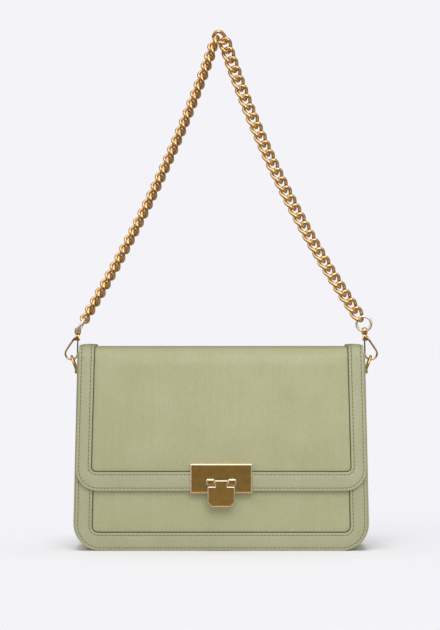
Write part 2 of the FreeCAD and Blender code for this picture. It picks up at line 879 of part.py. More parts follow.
def swivel_eye(side):
    """Domed swivel that the hook turns in, with a hole across it for the chain's end ring."""
    foot, waist = Vector(eye_radius, 0, collar_bottom_z), Vector(eye_radius, 0, eye_arch_z)
    slant = eye_radius * math.sqrt(0.5)
    bend = Vector(slant, 0, eye_arch_z + slant)
    base, crown = Vector(0, 0, collar_bottom_z), Vector(0, 0, eye_arch_z + eye_radius)
    edges = [Part.LineSegment(base, foot), Part.LineSegment(foot, waist), Part.Arc(waist, bend, crown),
             Part.LineSegment(crown, base)]
    half = Part.Face(Part.Wire([edge.toShape() for edge in edges]))
    dome = half.revolve(Vector(0, 0, 0), Vector(0, 0, 1), 360)
    bore = rod(stem_radius + stem_clearance, base - Vector(0, 0, overrun), Vector(0, 0, eye_arch_z))
    corners = [(-eye_hole_radius, collar_top_z), (-eye_hole_radius, eye_inner_top_z),
               (eye_hole_radius, eye_inner_top_z), (eye_hole_radius, collar_top_z)]
    hole = front_prism(corners, [0, eye_hole_radius, eye_hole_radius, 0], -overrun, overrun)
    eye = dome.cut([bore, hole])
    hand = sides[side]
    eye.rotate(Vector(0, 0, 0), Vector(0, 0, 1), hand * (end_ring_turns[side] + 90))
    eye.translate(Vector(hand * neck_x, strap_line, 0))
    return eye


# Chain and its end rings

def lean_direction(side, lean):
    """Up and inwards at an angle, from one side of the bag."""
    angle = math.radians(lean)
    return Vector(-sides[side] * math.sin(angle), 0, math.cos(angle))


def end_ring_centre(side):
    low = Vector(sides[side] * neck_x, strap_line, end_ring_low_z)
    return low + lean_direction(side, end_ring_leans[side]) * end_ring_radius


def end_ring_axes(side):
    """Two unit directions in the plane of an end ring: along its lean, and across."""
    up = lean_direction(side, end_ring_leans[side])
    flat = Vector(0, 1, 0).cross(up)
    across = Rotation(up, sides[side] * end_ring_turns[side]).multVec(flat)
    return up, across


def end_ring(side):
    up, across = end_ring_axes(side)
    return Part.makeTorus(end_ring_radius, end_ring_wire_radius, end_ring_centre(side), up.cross(across))


def chain_end(side):
    """Middle of the link that hangs in an end ring."""
    up, across = end_ring_axes(side)
    pull = lean_direction(side, start_leans[side])
    in_plane = up * up.dot(pull) + across * across.dot(pull)
    wire = end_ring_centre(side) + in_plane.normalize() * end_ring_radius
    inside = link_half_length - link_wire / 2 - end_ring_wire_radius - link_end_gap
    return wire + pull * inside


def chain_place(across, drop):
    """A place in the strap's plane, measured from the top of the chain."""
    return Vector(chain_top_across + across, strap_line, chain_top_height - drop)


def strand(side):
    """Places and directions of one strand's links, from its end ring upwards, on a sagging arc."""
    start = chain_end(side)
    end = chain_place(*strand_ends[side])
    along = (end - start).normalize()
    length = (end - start).Length
    sag = chain_sags[side]
    down = Vector(-sides[side] * abs(along.z), 0, -abs(along.x))
    radius = (length ** 2 / 4 + sag ** 2) / (2 * sag)
    half_angle = math.asin(length / 2 / radius)
    centre = (start + end) * 0.5 + down * (sag - radius)
    steps = math.ceil(2 * half_angle * radius / link_pitch)
    places = []
    for step in range(steps + 1):
        share = step / steps
        angle = half_angle * (2 * share - 1)
        place = centre + (down * math.cos(angle) + along * math.sin(angle)) * radius
        travel = along * math.cos(angle) - down * math.sin(angle)
        places.append((place, travel, share))
    return places


def strand_roll(side, share):
    """Roll of a link at a share of its strand, with even runs between the rolls given."""
    stops = list(zip(roll_shares[side], rolls[side]))
    for (low, first), (high, second) in zip(stops, stops[1:]):
        if share <= high:
            return first + (second - first) * (share - low) / (high - low)
    return stops[-1][1]


def link_curve(angle):
    return Vector(link_half_length * math.cos(angle), link_half_width * math.sin(angle),
                  link_twist * math.sin(2 * angle))


def link_direction(angle):
    return Vector(-link_half_length * math.sin(angle), link_half_width * math.cos(angle),
                  2 * link_twist * math.cos(2 * angle)).normalize()


def biarc(start, start_direction, end, end_direction):
    """Two arcs that join two points with the directions given."""
    chord = end - start
    total = start_direction + end_direction
    spread = 4 - total.dot(total)
    lean = chord.dot(total)
    arm = (math.sqrt(lean ** 2 + spread * chord.dot(chord)) - lean) / spread
    first = start + start_direction * arm
    second = end - end_direction * arm
    middle = (first + second) * 0.5
    return [tangent_arc(start, first, middle), tangent_arc(middle, second, end)]


def chain_link():
    """One twisted oval link: half of it as a swept wire, and the same half turned round."""
    span_count = 4
    edges = []
    for span in range(span_count):
        low, high = math.pi * span / span_count, math.pi * (span + 1) / span_count
        edges += biarc(link_curve(low), link_direction(low), link_curve(high), link_direction(high))
    half = wire_sweep(Part.Wire(edges), link_wire / 2, link_curve(0), link_direction(0))
    other = half.copy()
    other.rotate(Vector(0, 0, 0), Vector(0, 0, 1), 180)
    return half.fuse(other).removeSplitter()


def link_turn(travel, roll):
    """Turn of a link that lies along a direction in the strap's plane and is rolled about it."""
    normal = Vector(0, -1, 0)
    base = Rotation(travel, normal.cross(travel), normal, "XYZ")
    return base.multiply(Rotation(Vector(1, 0, 0), roll))


def placed_link(link, place, turn):
    copy = link.copy()
    copy.Placement = Placement(place, turn)
    return leaned(copy)


def chain_links(side, link):
    """The links of one strand, up the left side or down the right, and its top link."""
    forward = -sides[side]
    links = []
    for place, travel, share in strand(side):
        links.append(placed_link(link, place, link_turn(travel * forward, strand_roll(side, share))))
    angle = math.radians(top_leans[side])
    travel = Vector(math.sin(angle), 0, math.cos(angle))
    links.append(placed_link(link, chain_place(*top_places[side]), link_turn(travel, top_rolls[side])))
    return Part.makeCompound(links)


def side_name(name, side):
    return name + "_" + side


def all_parts():
    """Every piece of the bag under the name of its node."""
    link = chain_link()
    parts = {
        "front_panel": front_panel(),
        "front_band": front_band(),
        "front_board": front_board(),
        "front_lining": panel_lining(-1),
        "back_panel": back_panel(),
        "back_board": stiffener(1),
        "back_lining": panel_lining(1),
        "gusset": gusset(),
        "gusset_lining": gusset_lining(),
        "base_board": base_board(),
        "catch_magnet": catch_magnet(),
        "flap_rear_panel": flap_rear_panel(),
        "flap_rear_band": flap_rear_band(),
        "flap_top_panel": flap_top_panel(),
        "flap_top_band": flap_top_band(),
        "flap_top_lining": flap_top_lining(),
        "flap_panel": flap_panel(),
        "flap_band": flap_band(),
        "flap_board": flap_board(),
        "flap_lining": flap_lining(),
        "flap_magnet": flap_magnet(),
        "lock_front_plate": lock_front_plate(),
        "lock_back_plate": lock_back_plate(),
        "lock_screws": lock_screws(),
        "hinge_pin": hinge_pin(),
        "tongue": tongue(),
    }
    for side in sides:
        parts[side_name("side_anchor", side)] = for_side(side, side_anchor())
        parts[side_name("anchor_rivets", side)] = anchor_rivets(side)
        parts[side_name("rivet_washers", side)] = rivet_washers(side)
        parts[side_name("side_ring", side)] = for_side(side, side_ring())
        parts[side_name("hook", side)] = leaned(for_side(side, hook()))
        parts[side_name("hook_gate", side)] = leaned(for_side(side, gate()))
        parts[side_name("gate_pin", side)] = leaned(for_side(side, gate_pin()))
        parts[side_name("swivel_eye", side)] = leaned(swivel_eye(side))
        parts[side_name("end_ring", side)] = leaned(end_ring(side))
        parts[side_name("chain_links", side)] = chain_links(side, link)
    return parts


os.makedirs("parts", exist_ok=True)
for name, shape in all_parts().items():
    shape.exportStep("parts/" + name + ".step")
    state = "valid" if shape.isValid() else "NOT VALID"
    print(name, len(shape.Solids), "solids", round(shape.Volume), "mm3", state)
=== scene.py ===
# %% [markdown]
# # A leather shoulder bag on a chain
# The bag is a stiff leather box with a flap that runs over the top, a gold lock on the flap and a
# curb-link chain. The imported model gives the frame: every piece here is made in metres in that frame,
# and all but the flap's leather and stitches ride on one of its bodies, so what looks right at rest also
# moves right.

# %% Load the frame
import json
import math

import bmesh
import bpy
from mathutils import Matrix, Vector


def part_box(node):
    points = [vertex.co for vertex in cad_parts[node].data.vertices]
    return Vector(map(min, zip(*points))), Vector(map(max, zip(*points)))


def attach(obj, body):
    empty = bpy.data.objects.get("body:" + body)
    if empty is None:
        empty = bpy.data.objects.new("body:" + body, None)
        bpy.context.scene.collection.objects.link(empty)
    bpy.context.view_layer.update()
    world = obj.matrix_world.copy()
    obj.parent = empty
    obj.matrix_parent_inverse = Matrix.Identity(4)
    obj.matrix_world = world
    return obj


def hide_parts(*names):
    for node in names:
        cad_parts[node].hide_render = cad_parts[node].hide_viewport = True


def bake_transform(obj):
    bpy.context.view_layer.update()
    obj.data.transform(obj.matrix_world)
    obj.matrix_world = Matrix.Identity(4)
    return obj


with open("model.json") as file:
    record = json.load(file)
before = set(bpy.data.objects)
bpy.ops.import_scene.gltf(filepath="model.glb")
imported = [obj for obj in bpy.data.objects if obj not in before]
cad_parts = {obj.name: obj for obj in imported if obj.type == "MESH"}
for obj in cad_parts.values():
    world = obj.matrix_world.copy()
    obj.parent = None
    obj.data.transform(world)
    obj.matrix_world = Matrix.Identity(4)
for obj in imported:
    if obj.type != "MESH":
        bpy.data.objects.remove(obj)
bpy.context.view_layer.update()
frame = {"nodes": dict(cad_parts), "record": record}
mm = 0.001

# %% [markdown]
# ## The camera
# The picture was taken from straight in front with a long lens, level with the middle of the frame.
# A camera could be moved by eye until the picture fits, but it is steadier to work it out: the
# sensor's long side covers the picture's height, so the lens follows from the distance and from how
# many millimetres that height shows at the bag's front.

# %% Place the camera
picture_height_px = 630
front_mm_per_px = 0.897
camera_distance = 2200 * mm
camera_across = -1.1 * mm
camera_height = 212.0 * mm
sensor_long_side = 36
bag_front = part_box("flap_panel")[0].y


def add_object(name, data):
    thing = bpy.data.objects.new(name, data)
    bpy.context.collection.objects.link(thing)
    return thing


camera = add_object("camera", bpy.data.cameras.new("camera"))
camera.location = (camera_across, bag_front - camera_distance, camera_height)
camera.rotation_euler = (math.radians(90), 0, 0)
shown_height = picture_height_px * front_mm_per_px * mm
camera.data.sensor_width = sensor_long_side
camera.data.lens = sensor_long_side * camera_distance / shown_height
bpy.context.scene.camera = camera
bpy.context.scene.view_settings.view_transform = "Standard"
print("lens:", round(camera.data.lens, 1), "mm")

# %% [markdown]
# ## Helpers for materials
# A material is a small graph of nodes. It could be drawn by hand in the editor; as code it can be read
# and made again. These helpers add a node, feed a socket from another one or from a plain value, and
# make the few textures that return, so each finish below reads as a list of what it is made of.

# %% Node helpers
white = (1, 1, 1)


def new_material(name):
    material = bpy.data.materials.new(name)
    material.use_nodes = True
    return material, material.node_tree, material.node_tree.nodes["Principled BSDF"]


def add_node(tree, kind, **values):
    """A node with some of its inputs or settings given by name."""
    node = tree.nodes.new("ShaderNode" + kind)
    for key, value in values.items():
        label = key.replace("_", " ").title()
        if label in node.inputs:
            node.inputs[label].default_value = value
        else:
            setattr(node, key, value)
    return node


def join(source, target):
    """Feeds a socket from another socket, or sets it to a plain value."""
    if isinstance(source, bpy.types.NodeSocket):
        target.id_data.links.new(source, target)
    else:
        target.default_value = source


def dress(shader, **sources):
    """Feeds the shader's inputs, given by name, from sockets or plain values."""
    for key, source in sources.items():
        join(source, shader.inputs[key.replace("_", " ")])


def object_coordinates(tree, scale=(1, 1, 1)):
    """Coordinates in the piece's own frame, stretched along some axes."""
    place = add_node(tree, "TexCoord")
    stretch = add_node(tree, "Mapping", Scale=scale)
    join(place.outputs["Object"], stretch.inputs["Vector"])
    return stretch.outputs["Vector"]


# %% Textures and mixes
def grey(value):
    return (value, value, value)


def add_noise(place, scale, detail, roughness=0.5):
    node = add_node(place.id_data, "TexNoise", Scale=scale, Detail=detail, Roughness=roughness)
    join(place, node.inputs["Vector"])
    return node.outputs["Fac"]


def ramp(source, first, second, low=0.3, high=0.7):
    """A colour from the first to the second while a value goes from low to high."""
    node = add_node(source.id_data, "ValToRGB")
    for element, place, colour in zip(node.color_ramp.elements, (low, high), (first, second)):
        element.position = place
        element.color = (*colour, 1)
    join(source, node.inputs["Fac"])
    return node.outputs["Color"]


def mix_colours(tree, share, first, second, blend="MIX"):
    node = add_node(tree, "Mix", data_type="RGBA", blend_type=blend)
    for label, source in (("Factor", share), ("A", first), ("B", second)):
        join(source, node.inputs[label])
    return node.outputs["Result"]


def combine(operation, first, second):
    node = add_node(first.id_data, "Math", operation=operation)
    join(first, node.inputs[0])
    join(second, node.inputs[1])
    return node.outputs["Value"]


def add_bump(height, strength, depth, before=None):
    """A normal that leans with a height; a bump made before it can lie underneath."""
    node = add_node(height.id_data, "Bump", Strength=strength, Distance=depth)
    join(height, node.inputs["Height"])
    if before is not None:
        join(before, node.inputs["Normal"])
    return node.outputs["Normal"]


# %% [markdown]
# ## Sage leather
# The leather is a fine pebbled calf in a grey sage green. A picture of leather could be wrapped round
# it, but a cell texture needs no picture and keeps its size on every piece: its pebbles, under a
# millimetre wide, drive the bump, and their valleys are a shade darker. A broad noise and long upright
# streaks vary the colour a little, as dye does on a hide.

# %% Leather
pebble_size, pebble_depth, grain_depth = 0.9 * mm, 0.18 * mm, 0.08 * mm
streak_stretch = (1, 1, 0.04)
streak_shade = (0.88, 0.88, 0.86)
valley_shade = (0.78, 0.78, 0.74)


def make_leather(name, pale, deep):
    material, tree, shader = new_material(name)
    place = object_coordinates(tree)
    cells = add_node(tree, "TexVoronoi", feature="SMOOTH_F1", Scale=1 / pebble_size, Randomness=1.0)
    join(place, cells.inputs["Vector"])
    pebbles = cells.outputs["Distance"]
    broad = add_noise(place, 28, 3)
    streaks = add_noise(object_coordinates(tree, streak_stretch), 330, 2, 0.6)
    fine = add_noise(place, 2600, 2)
    dye = ramp(broad, deep, pale)
    dyed = mix_colours(tree, 0.3, dye, ramp(streaks, streak_shade, white), "MULTIPLY")
    tops = ramp(pebbles, white, valley_shade, 0.1, 0.75)
    grain = add_bump(fine, 0.25, grain_depth)
    dress(shader, Base_Color=mix_colours(tree, 0.7, dyed, tops, "MULTIPLY"),
          Roughness=ramp(fine, grey(0.42), grey(0.54)), Specular_IOR_Level=0.5,
          Normal=add_bump(pebbles, 0.5, pebble_depth, grain))
    return material


leather = make_leather("sage_leather", (0.5, 0.5, 0.292), (0.46, 0.461, 0.255))
border_leather = make_leather("border_leather", (0.49, 0.49, 0.31), (0.45, 0.451, 0.272))
# painted shade: the base skins show only in the narrow slits, so this leather is painted nearly black to
# stand in for the shade there
seam_leather = make_leather("seam_leather", (0.125, 0.125, 0.048), (0.1, 0.1, 0.035))
print("leathers:", leather.name, border_leather.name, seam_leather.name)

# %% [markdown]
# ## Thread, cloth and board
# The thread is waxed and twisted, a darker olive than the leather; it is made much darker still, as
# painted shade of the stitch holes. The lining is a plain weave, which could be modelled yarn by yarn;
# it is hardly seen, so two wave textures at right angles give its over and under. The boards are grey
# pressed fibre, for which a noise with specks is enough.

# %% Thread, lining cloth and board
fibre_depth, weave_depth = 0.1 * mm, 0.2 * mm


def make_fibre(name, grain, dark, pale, stops, roughness, strength):
    """A dull fibre: one fine noise gives both its colour and its bump."""
    material, tree, shader = new_material(name)
    fibres = add_noise(object_coordinates(tree), *grain)
    dress(shader, Base_Color=ramp(fibres, dark, pale, *stops), Roughness=roughness,
          Normal=add_bump(fibres, strength, fibre_depth))
    return material


def make_lining():
    material, tree, shader = new_material("lining_weave")
    place = object_coordinates(tree)
    heights = []
    for direction in ("X", "Z"):
        wave = add_node(tree, "TexWave", bands_direction=direction, Scale=620.0, Distortion=0.6)
        join(place, wave.inputs["Vector"])
        heights.append(wave.outputs["Fac"])
    weave = combine("MULTIPLY", *heights)
    yarn = ramp(weave, (0.17, 0.155, 0.105), (0.33, 0.31, 0.22), 0.0, 0.6)
    slub = ramp(add_noise(place, 90, 3), grey(0.85), white)
    dress(shader, Base_Color=mix_colours(tree, 1.0, yarn, slub, "MULTIPLY"), Roughness=0.85,
          Normal=add_bump(weave, 0.35, weave_depth))
    return material


# painted shade: the thread is coloured far darker than the real thread, to stand in for the shade of its
# stitch holes
thread_and_hole_shade_dark, thread_and_hole_shade_pale = (0.1, 0.1, 0.038), (0.18, 0.18, 0.08)
thread = make_fibre("olive_thread", (3200, 2), thread_and_hole_shade_dark, thread_and_hole_shade_pale, (0.3, 0.7), 0.62, 0.3)
board_dark, board_pale = (0.12, 0.115, 0.1), (0.25, 0.24, 0.21)
board = make_fibre("pressed_board", (900, 4, 0.7), board_dark, board_pale, (0.35, 0.65), 0.8, 0.2)
lining_cloth = make_lining()
print("soft finishes:", thread.name, lining_cloth.name, board.name)

# %% [markdown]
# ## Gold and steel
# The fittings are plated in a light, warm gold. Polished metal shows little but what it reflects, so
# painted highlights would look wrong from any other side. The finish is a metallic shader with small
# changes in roughness instead: handling marks and a thin haze. Two golds still carry painted light: the
# lock's gold is painted paler, a painted highlight, where a piece carries the rim highlight, and the end
# rings are a paler gold, a painted reflection of the bright background. Magnets and washers are plain
# nickelled steel.

# %% Metals
mark_stretch, mark_depth = (1, 1, 0.12), 0.04 * mm


def make_metal(name, bright, worn, smoothest, roughest, mark_scale=2400.0, rim=None):
    """A metal with haze and fine marks; the rim colour paints a highlight where a piece carries one."""
    material, tree, shader = new_material(name)
    haze = add_noise(object_coordinates(tree), 160, 4, 0.6)
    marks = add_noise(object_coordinates(tree, mark_stretch), mark_scale, 2)
    colour = ramp(haze, worn, bright)
    if rim:
        polish = add_node(tree, "Attribute", attribute_name="polish")
        colour = mix_colours(tree, polish.outputs["Fac"], colour, (*rim, 1))
    dress(shader, Base_Color=colour, Roughness=ramp(haze, grey(roughest), grey(smoothest)),
          Metallic=1.0, Normal=add_bump(marks, 0.06, mark_depth))
    return material


gold = make_metal("light_gold", (0.83, 0.555, 0.262), (0.74, 0.47, 0.205), 0.16, 0.26)
# painted highlight: the rim colour paints the lock's rims a pale cream where they would catch the light
lock_gold = make_metal("lock_gold", (0.8, 0.49, 0.14), (0.72, 0.43, 0.11), 0.24, 0.3, rim=(0.95, 0.8, 0.57))
# painted reflection: the end rings are painted a paler, creamier gold than the rest, for the bright
# background their flat sides reflect
pale_gold = make_metal("pale_gold", (0.96, 0.86, 0.68), (0.92, 0.8, 0.6), 0.32, 0.4)
steel = make_metal("nickelled_steel", (0.62, 0.61, 0.58), (0.5, 0.49, 0.47), 0.25, 0.4, 1500.0)
print("metals:", gold.name, lock_gold.name, pale_gold.name, steel.name)

# %% [markdown]
# ## From a bmesh to a piece
# Every piece ends in the same few steps: merge what lies together, turn the faces outwards, shade
# smooth but keep hard edges, give it its finish and hang it on the body that carries it. A bmesh is
# Blender's mesh for editing, so its operators do what a hand would do in edit mode.

# %% Finish a piece
merge_distance = 0.002 * mm
soft_angle, crisp_angle = 60, 28


def merge(bm):
    bmesh.ops.remove_doubles(bm, verts=bm.verts[:], dist=merge_distance)


def face_outwards(bm):
    bmesh.ops.recalc_face_normals(bm, faces=bm.faces[:])


def to_mesh(bm, name):
    mesh = bpy.data.meshes.new(name)
    bm.to_mesh(mesh)
    bm.free()
    return mesh


def to_object(bm, name, material, smooth_angle=38):
    merge(bm)
    face_outwards(bm)
    mesh = to_mesh(bm, name)
    mesh.shade_smooth()
    mesh.set_sharp_from_angle(angle=math.radians(smooth_angle))
    mesh.materials.append(material)
    piece = add_object(name, mesh)
    print(name + ":", len(mesh.polygons), "faces")
    return piece


def stand_in(nodes):
    if nodes:
        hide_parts(*nodes)


def ride(piece, body, *nodes):
    """Hangs a piece on one body, in place of some of the frame's nodes."""
    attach(piece, body)
    stand_in(nodes)


# %% Cuts
cut_tolerance = 0.001 * mm
bench_along = Vector((0, 1, 0))


def everything(bm):
    return bm.verts[:] + bm.edges[:] + bm.faces[:]


def cut_across(bm, axis, places):
    """Adds edges where planes across an axis meet the mesh."""
    normal = Vector((axis == "x", axis == "y", axis == "z"))
    for place in places:
        bmesh.ops.bisect_plane(bm, geom=everything(bm), dist=cut_tolerance, plane_co=normal * place,
                               plane_no=normal)


def trim(bm, normal, point):
    """Removes what lies beyond a plane and closes the cut."""
    bmesh.ops.bisect_plane(bm, geom=everything(bm), dist=cut_tolerance, plane_co=point, plane_no=normal,
                           clear_outer=True)
    bmesh.ops.holes_fill(bm, edges=[edge for edge in bm.edges if edge.is_boundary])


def even_places(low, high, step):
    count = max(2, round((high - low) / step))
    return [low + (high - low) * index / count for index in range(1, count)]


# %% [markdown]
# ## Cutting leather on the bench
# A bag maker cuts every part flat and folds it afterwards. One could bend a box into shape instead, but
# flat parts keep their true sizes. A part is drawn as one many-sided face on the bench: x across, y
# along the part, z its thickness. Bevels round the corners, an extrusion gives the thickness, and
# insets press in the stitch lines.

# %% Flat cutting
corner_segments, edge_segments = 10, 4
straight_up = 0.99


def draw_part(corners):
    """A flat face through corners (across, along, rounding)."""
    bm = bmesh.new()
    points = [bm.verts.new((across, along, 0)) for across, along, rounding in corners]
    bm.faces.new(points)
    for rounding in sorted({corner[2] for corner in corners if corner[2] > 0}):
        chosen = [point for point, corner in zip(points, corners) if corner[2] == rounding]
        bmesh.ops.bevel(bm, geom=chosen, offset=rounding, segments=corner_segments, profile=0.5,
                        affect="VERTICES", material=-1)
    return bm


def rectangle(left, right, start, end):
    return [(left, end, 0), (left, start, 0), (right, start, 0), (right, end, 0)]


def extrude_up(bm, height):
    """Raises a copy of the faces and walls in the space between."""
    raised = bmesh.ops.extrude_face_region(bm, geom=bm.faces[:])
    moved = [item for item in raised["geom"] if isinstance(item, bmesh.types.BMVert)]
    bmesh.ops.translate(bm, verts=moved, vec=(0, 0, height))
    face_outwards(bm)


def upper_face(bm):
    """The largest face that looks straight up."""
    looking_up = [face for face in bm.faces if face.normal.z > straight_up]
    return max(looking_up, key=lambda face: face.calc_area())


def thicken(bm, low, high):
    """Makes a slab between two levels and returns its upper face."""
    bmesh.ops.translate(bm, verts=bm.verts[:], vec=(0, 0, low))
    extrude_up(bm, high - low)
    return upper_face(bm)


def round_edge(bm, face, radius):
    bmesh.ops.bevel(bm, geom=list(face.edges), offset=radius, segments=edge_segments, profile=0.5,
                    affect="EDGES", material=-1, clamp_overlap=True)
    return upper_face(bm)


def press_in(bm, face, steps):
    """Insets a face in steps of (how far in, how far up)."""
    for inward, rise in steps:
        bmesh.ops.inset_region(bm, faces=[face], thickness=inward, depth=rise, use_even_offset=True,
                               use_boundary=True)
    return face


# %% Stitched edges and the hem
stitch_inset = 2.5 * mm
edge_round = 0.9 * mm
crease_half, crease_depth = 0.55 * mm, 0.32 * mm
swell = [(1.2 * mm, 0.22 * mm), (2 * mm, 0.12 * mm)]
crease = [(stitch_inset - edge_round - crease_half, 0), (crease_half, -crease_depth),
          (crease_half, crease_depth)] + swell
hem_lean = 1.2 * mm


def stitched_part(corners, low, high, keep, end):
    """A slab with a rounded edge and a stitch line, cut square: keep 1 is before the end, -1 past it."""
    bm = draw_part(corners)
    top = round_edge(bm, thicken(bm, low, high), edge_round)
    press_in(bm, top, crease)
    trim(bm, bench_along * keep, bench_along * end)
    return bm


def hem_drop(along, width):
    """How far a lower border leans in at a height: nothing at its top, most at the hem."""
    return hem_lean * max(0.0, 1 - along / width) ** 2


def lean_hem(bm, width):
    for vert in bm.verts:
        if vert.co.z > 0:
            vert.co.z -= hem_drop(vert.co.y, width)


print("stitch lines lie", round(stitch_inset / mm, 1), "mm inside the edges")

# %% [markdown]
# ## The body's outline
# The body tapers a little upwards and its two lower corners are round. The raised border has the same
# outline outside and a tighter one inside, so one function draws both from an inset. The front lies
# flat on the bench and is stood up at its depth at the end, with its thickness towards the viewer.

# %% Sizes of the body, from the frame
front_face, front_inner = (corner.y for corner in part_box("front_panel"))
border_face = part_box("front_band")[0].y
back_inner, back_face = (corner.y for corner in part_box("back_panel"))
body_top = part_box("front_band")[1].z
bend_room = 3.2 * mm
front_top = body_top - bend_room
body_corner = 23.5 * mm
border_width = 16.2 * mm
side_border_share = 0.925
border_corner = 6 * mm
slit_width = 0.7 * mm
body_half_base = 132 * mm
taper_each_side = 4.25 * mm
body_taper = taper_each_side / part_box("front_panel")[1].z
past_end = 14 * mm


def half_width(height):
    return body_half_base - body_taper * height


def body_outline(inset, corner, top):
    """Corners of the body's front from the top left, drawn in by an inset, less so at the sides."""
    side = side_border_share * inset
    low, high = half_width(inset) - side, half_width(top) - side
    return [(-high, top, 0), (-low, inset, corner), (low, inset, corner), (high, top, 0)]


def stand_front(bm, face_depth, flip=1):
    """From the bench to the front (or, flipped, the back): along becomes up, thickness outwards."""
    for vert in bm.verts:
        across, along, out = vert.co
        vert.co = (across, face_depth - flip * out, along)


print("front face at", round(front_face, 4), "body top at", round(body_top, 4))

# %% [markdown]
# ## Front of the body
# On the bag the front is a panel with a stitched band laid round it. A groove cut into one slab would
# do, but layers, as in the real thing, give a cleaner shadow: a base skin, a raised middle and the
# border, with a narrow, deep slit between them. The base skin shows only in that slit and is painted
# nearly black, as painted shade. The middle is slightly full, like leather over a thin pad. All three
# stop short of the top, where the flap's bend sinks when its front is folded up.

# %% Base skin and border
front_skin_inset = 0.6 * mm
slit_floor = -0.9 * mm
border_step = 0.3 * mm
front_back = front_face - front_inner

skin_part = draw_part(body_outline(front_skin_inset, body_corner, front_top))
thicken(skin_part, front_back, slit_floor)
stand_front(skin_part, front_face)
ride(to_object(skin_part, "front_skin", seam_leather), "body", "front_panel")

border_rise = front_face - border_face
outer = body_outline(0, body_corner, body_top + past_end)
inner = body_outline(border_width, border_corner, body_top + past_end)
border = stitched_part(outer + inner[::-1], front_back, border_rise, 1, front_top - border_step)
lean_hem(border, border_width)
stand_front(border, front_face)
ride(to_object(border, "front_border", border_leather), "body", "front_band")

# %% Raised middle of the front
panel_inset = border_width + slit_width
panel_short = 1 * mm
panel_level, panel_round = 0.1 * mm, 0.8 * mm
front_pad, pad_rim, pad_step = 0.5 * mm, 16 * mm, 9 * mm
level_tolerance = 0.01 * mm


def pad_out(bm, share_at, height):
    """Lifts the upper side of a part in a swell: share_at is 0 at its rim and 1 well inside."""
    top_level = max(vert.co.z for vert in bm.verts)
    for vert in bm.verts:
        if vert.co.z > top_level - level_tolerance:
            vert.co.z += height * math.sin(share_at(vert.co) * math.pi / 2) ** 2


def rim_share(side_gap, bottom_gap):
    """How far a pad has grown at some distance from its border."""
    return min(1.0, max(0.0, min(side_gap, bottom_gap)) / pad_rim)


def front_fullness(point):
    return rim_share(half_width(point.y) - panel_inset - abs(point.x), point.y - panel_inset)


panel_part = draw_part(body_outline(panel_inset, border_corner - slit_width, front_top - panel_short))
round_edge(panel_part, thicken(panel_part, slit_floor, panel_level), panel_round)
cut_across(panel_part, "x", even_places(-half_width(0), half_width(0), pad_step))
cut_across(panel_part, "y", even_places(panel_inset, body_top, pad_step))
pad_out(panel_part, front_fullness, front_pad)
stand_front(panel_part, front_face)
ride(to_object(panel_part, "front_middle", leather, smooth_angle=soft_angle), "body")

# %% [markdown]
# ## Back and sides
# The back is one panel with a turned edge and a single stitch line. The sides and bottom are one
# strip, the gusset. A flat ribbon could be bent round the corners if its exact length were known; here
# the body's outline is extruded through the depth, its open ends are taken away and the walls sink
# slightly between front and back.

# %% Back panel
back_under_flap = 22 * mm
back_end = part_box("flap_rear_panel")[0].z + back_under_flap
back_outline = body_outline(0, body_corner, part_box("back_panel")[1].z + past_end)
back_part = stitched_part(back_outline, back_inner - back_face, 0, 1, back_end)
stand_front(back_part, back_face, -1)
ride(to_object(back_part, "back_skin", leather), "body", "back_panel")

# %% Gusset strip
ribbon_width_step, ribbon_height_step = 6 * mm, 8 * mm
sink, sink_middle, sink_reach = 1.4 * mm, 84 * mm, 62 * mm


def ribbon(inset, near, far, top, thickness):
    """A strip round the sides and bottom between two depths, sunk in the middle of its width."""
    bm = draw_part(body_outline(inset, body_corner - inset, top))
    extrude_up(bm, far - near)
    ends = [face for face in bm.faces if abs(face.normal.z) > straight_up or face.normal.y > straight_up]
    bmesh.ops.delete(bm, geom=ends, context="FACES_ONLY")
    cut_across(bm, "z", even_places(0, far - near, ribbon_width_step))
    cut_across(bm, "y", even_places(body_corner, top, ribbon_height_step))
    for vert in bm.verts:
        width_share = math.sin(math.pi * vert.co.z / (far - near))
        height_share = max(0.0, 1 - ((vert.co.y - sink_middle) / sink_reach) ** 2)
        if abs(vert.co.x) > half_width(0) - body_corner:
            vert.co.x -= math.copysign(sink * width_share * height_share, vert.co.x)
    stand_front(bm, near, -1)
    face_outwards(bm)
    bmesh.ops.solidify(bm, geom=bm.faces[:], thickness=thickness)
    return bm


strip_short, strip_thickness = 2.6 * mm, 1.6 * mm
low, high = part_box("gusset")
strip_part = ribbon(0, low.y, high.y, high.z - strip_short - strip_thickness, strip_thickness)
bmesh.ops.translate(strip_part, verts=strip_part.verts[:], vec=(0, 0, strip_thickness))
ride(to_object(strip_part, "side_strip", leather), "body", "gusset")

# %% [markdown]
# ## Lining
# Inside, the cloth lining follows the walls a little way in. A cloth simulation could lay it in, but a
# glued lining does not hang: the front and back linings are flat cloth, and the one on the gusset is a
# second, thinner ribbon with the same sink as the leather.

# %% Linings of the body
cloth_step = 14 * mm


def lay_cloth(cloth, node, body):
    ride(to_object(cloth, node + "_cloth", lining_cloth), body, node)


for node, facing_side, flip in (("front_lining", 0, 1), ("back_lining", 1, -1)):
    low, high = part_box(node)
    cloth = draw_part(body_outline(low.z, body_corner - low.z, high.z))
    thicken(cloth, low.y - high.y, 0)
    cut_across(cloth, "x", even_places(low.x, high.x, cloth_step))
    cut_across(cloth, "y", even_places(low.z, high.z, cloth_step))
    stand_front(cloth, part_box(node)[facing_side].y, flip)
    lay_cloth(cloth, node, "body")

ribbon_cloth_short, ribbon_cloth_thickness = 3.4 * mm, 0.6 * mm
low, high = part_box("gusset_lining")
cloth = ribbon(low.z, low.y, high.y, high.z - ribbon_cloth_short, ribbon_cloth_thickness)
lay_cloth(cloth, "gusset_lining", "body")

# %% [markdown]
# ## Folding the flap
# The flap is one long piece of leather from its lower front edge, up the front, over both rounded
# top edges and down the back. A bend modifier could roll it, but only round one axis at a time. So it
# is cut flat, and a function carries every point to its place: straight runs stay flat, and the two
# stretches in between turn a quarter circle. What lies above the bench ends up outside.

